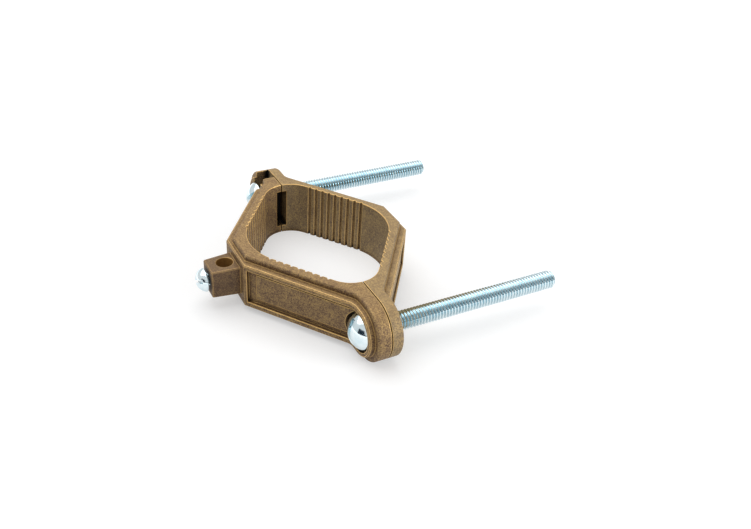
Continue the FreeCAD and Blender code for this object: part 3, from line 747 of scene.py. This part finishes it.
table = bpy.data.objects.new("table", bpy.data.meshes.new("table"))
work = bmesh.new()
bmesh.ops.create_grid(work, x_segments=1, y_segments=1, size=TABLE_SIZE / 2)
work.to_mesh(table.data)
work.free()
bpy.context.scene.collection.objects.link(table)

paper = bpy.data.materials.new("white_sweep_paper")
paper.use_nodes = True
tree = paper.node_tree
tree.nodes.clear()
diffuse = node(tree, "ShaderNodeBsdfDiffuse", {"Color": linear(PAPER)})
distance = node(tree, "ShaderNodeVectorMath", {
    0: node(tree, "ShaderNodeTexCoord").outputs["Object"]}, operation="LENGTH")
level = node(tree, "ShaderNodeMapRange", {
    "Value": distance.outputs["Value"], "From Min": SHADOW_REACH[0], "From Max": SHADOW_REACH[1],
    "To Min": GLOW_NEAR, "To Max": GLOW_FAR}, interpolation_type="SMOOTHSTEP")
strength = node(tree, "ShaderNodeMath", {
    0: seen_directly(tree), 1: level.outputs["Result"]}, operation="MULTIPLY")
glow = node(tree, "ShaderNodeEmission", {"Color": linear("#ffffff"), "Strength": strength.outputs[0]})
both = node(tree, "ShaderNodeAddShader", {0: diffuse.outputs[0], 1: glow.outputs[0]})
node(tree, "ShaderNodeOutputMaterial", {"Surface": both.outputs[0]})
table.data.materials.append(paper)
print("table %.1f m wide in %s" % (TABLE_SIZE, paper.name))

# %% [markdown]
# ## Dark curtain
#
# Polished metal only shows what stands around it, and in an all-white room a zinc screw
# looks like white paint. A low dark curtain round the near side of the set draws the dark
# line along each screw, and a taller leaf at its left end makes the dark spot on the near
# head. Only mirror reflections see it: it throws no shadow and takes no light from the
# table. Its bearings are degrees from +X towards +Y.

# %% Dark curtain
CURTAIN_RADIUS = 0.8
CURTAIN_HEIGHT = 0.07
LEAF_HEIGHT = 0.36
CURTAIN_FROM = -84
LEAF_TO = -52
CURTAIN_TO = 76
CURTAIN_STEP = 8

curtain = bpy.data.objects.new("dark_curtain", bpy.data.meshes.new("dark_curtain"))
work = bmesh.new()
columns = []
for bearing in range(CURTAIN_FROM, CURTAIN_TO + 1, CURTAIN_STEP):
    turn = math.radians(bearing)
    foot = Vector((math.cos(turn), math.sin(turn), 0)) * CURTAIN_RADIUS
    rise = LEAF_HEIGHT if bearing <= LEAF_TO else CURTAIN_HEIGHT
    columns.append((work.verts.new(foot), work.verts.new(foot + Vector((0, 0, rise)))))
for (low_a, high_a), (low_b, high_b) in zip(columns, columns[1:]):
    work.faces.new((low_a, high_a, high_b, low_b))
work.to_mesh(curtain.data)
work.free()
bpy.context.scene.collection.objects.link(curtain)
curtain.visible_camera = False
curtain.visible_diffuse = False
curtain.visible_shadow = False

felt = bpy.data.materials.new("blue_black_felt")
felt.use_nodes = True
tree = felt.node_tree
tree.nodes.clear()
cloth = node(tree, "ShaderNodeBsdfDiffuse", {"Color": linear("#20303c")})
node(tree, "ShaderNodeOutputMaterial", {"Surface": cloth.outputs[0]})
curtain.data.materials.append(felt)
print("curtain of", len(curtain.data.polygons), "faces in", felt.name)

# %% [markdown]
# ## Room
#
# A weak white world fills the shadows. The camera and the mirror-like metal see it brighter
# than it lights, as they see a white studio wall.

# %% Room
ROOM_LIGHT = 0.42
ROOM_WHITE = 0.8

world = bpy.data.worlds.new("white_room")
bpy.context.scene.world = world
world.use_nodes = True
tree = world.node_tree
tree.nodes.clear()
strength = node(tree, "ShaderNodeMapRange", {
    "Value": seen_directly(tree), "To Min": ROOM_LIGHT, "To Max": ROOM_WHITE})
room = node(tree, "ShaderNodeBackground", {
    "Color": linear("#ffffff"), "Strength": strength.outputs["Result"]})
node(tree, "ShaderNodeOutputWorld", {"Surface": room.outputs["Background"]})
print("room lights at %.2f and shows at %.2f" % (ROOM_LIGHT, ROOM_WHITE))

# %% [markdown]
# ## Lamps
#
# Two soft boxes light the set. The left one is over a metre wide and almost overhead: it
# lights every rim and the table inside the ring, and shines in the crown of the near screw
# head. The right one is smaller and low, and lights the hinge ear and the outside of the
# back jaw. The long front wall faces neither, so it stays darker than the rims, and its
# ridges stand out.

# %% Lamps


def soft_box(name, bearing, height, distance, size, power):
    """A square lamp aimed at the clamp, at a bearing from +X towards +Y and a height, in degrees."""
    lamp = bpy.data.lights.new(name, "AREA")
    lamp.shape = "SQUARE"
    lamp.size = size
    lamp.energy = power
    made = bpy.data.objects.new(name, lamp)
    bpy.context.scene.collection.objects.link(made)
    turn, lift = math.radians(bearing), math.radians(height)
    away = Vector((math.cos(lift) * math.cos(turn), math.cos(lift) * math.sin(turn), math.sin(lift)))
    made.location = away * distance
    made.rotation_euler = away.to_track_quat("Z", "Y").to_euler()
    print("%s %.1f W, %.2f m above the table" % (name, power, made.location.z))


soft_box("right_box", bearing=47, height=13, distance=0.8, size=0.36, power=3.6)
soft_box("left_box", bearing=216, height=70, distance=0.8, size=1.1, power=5.6)
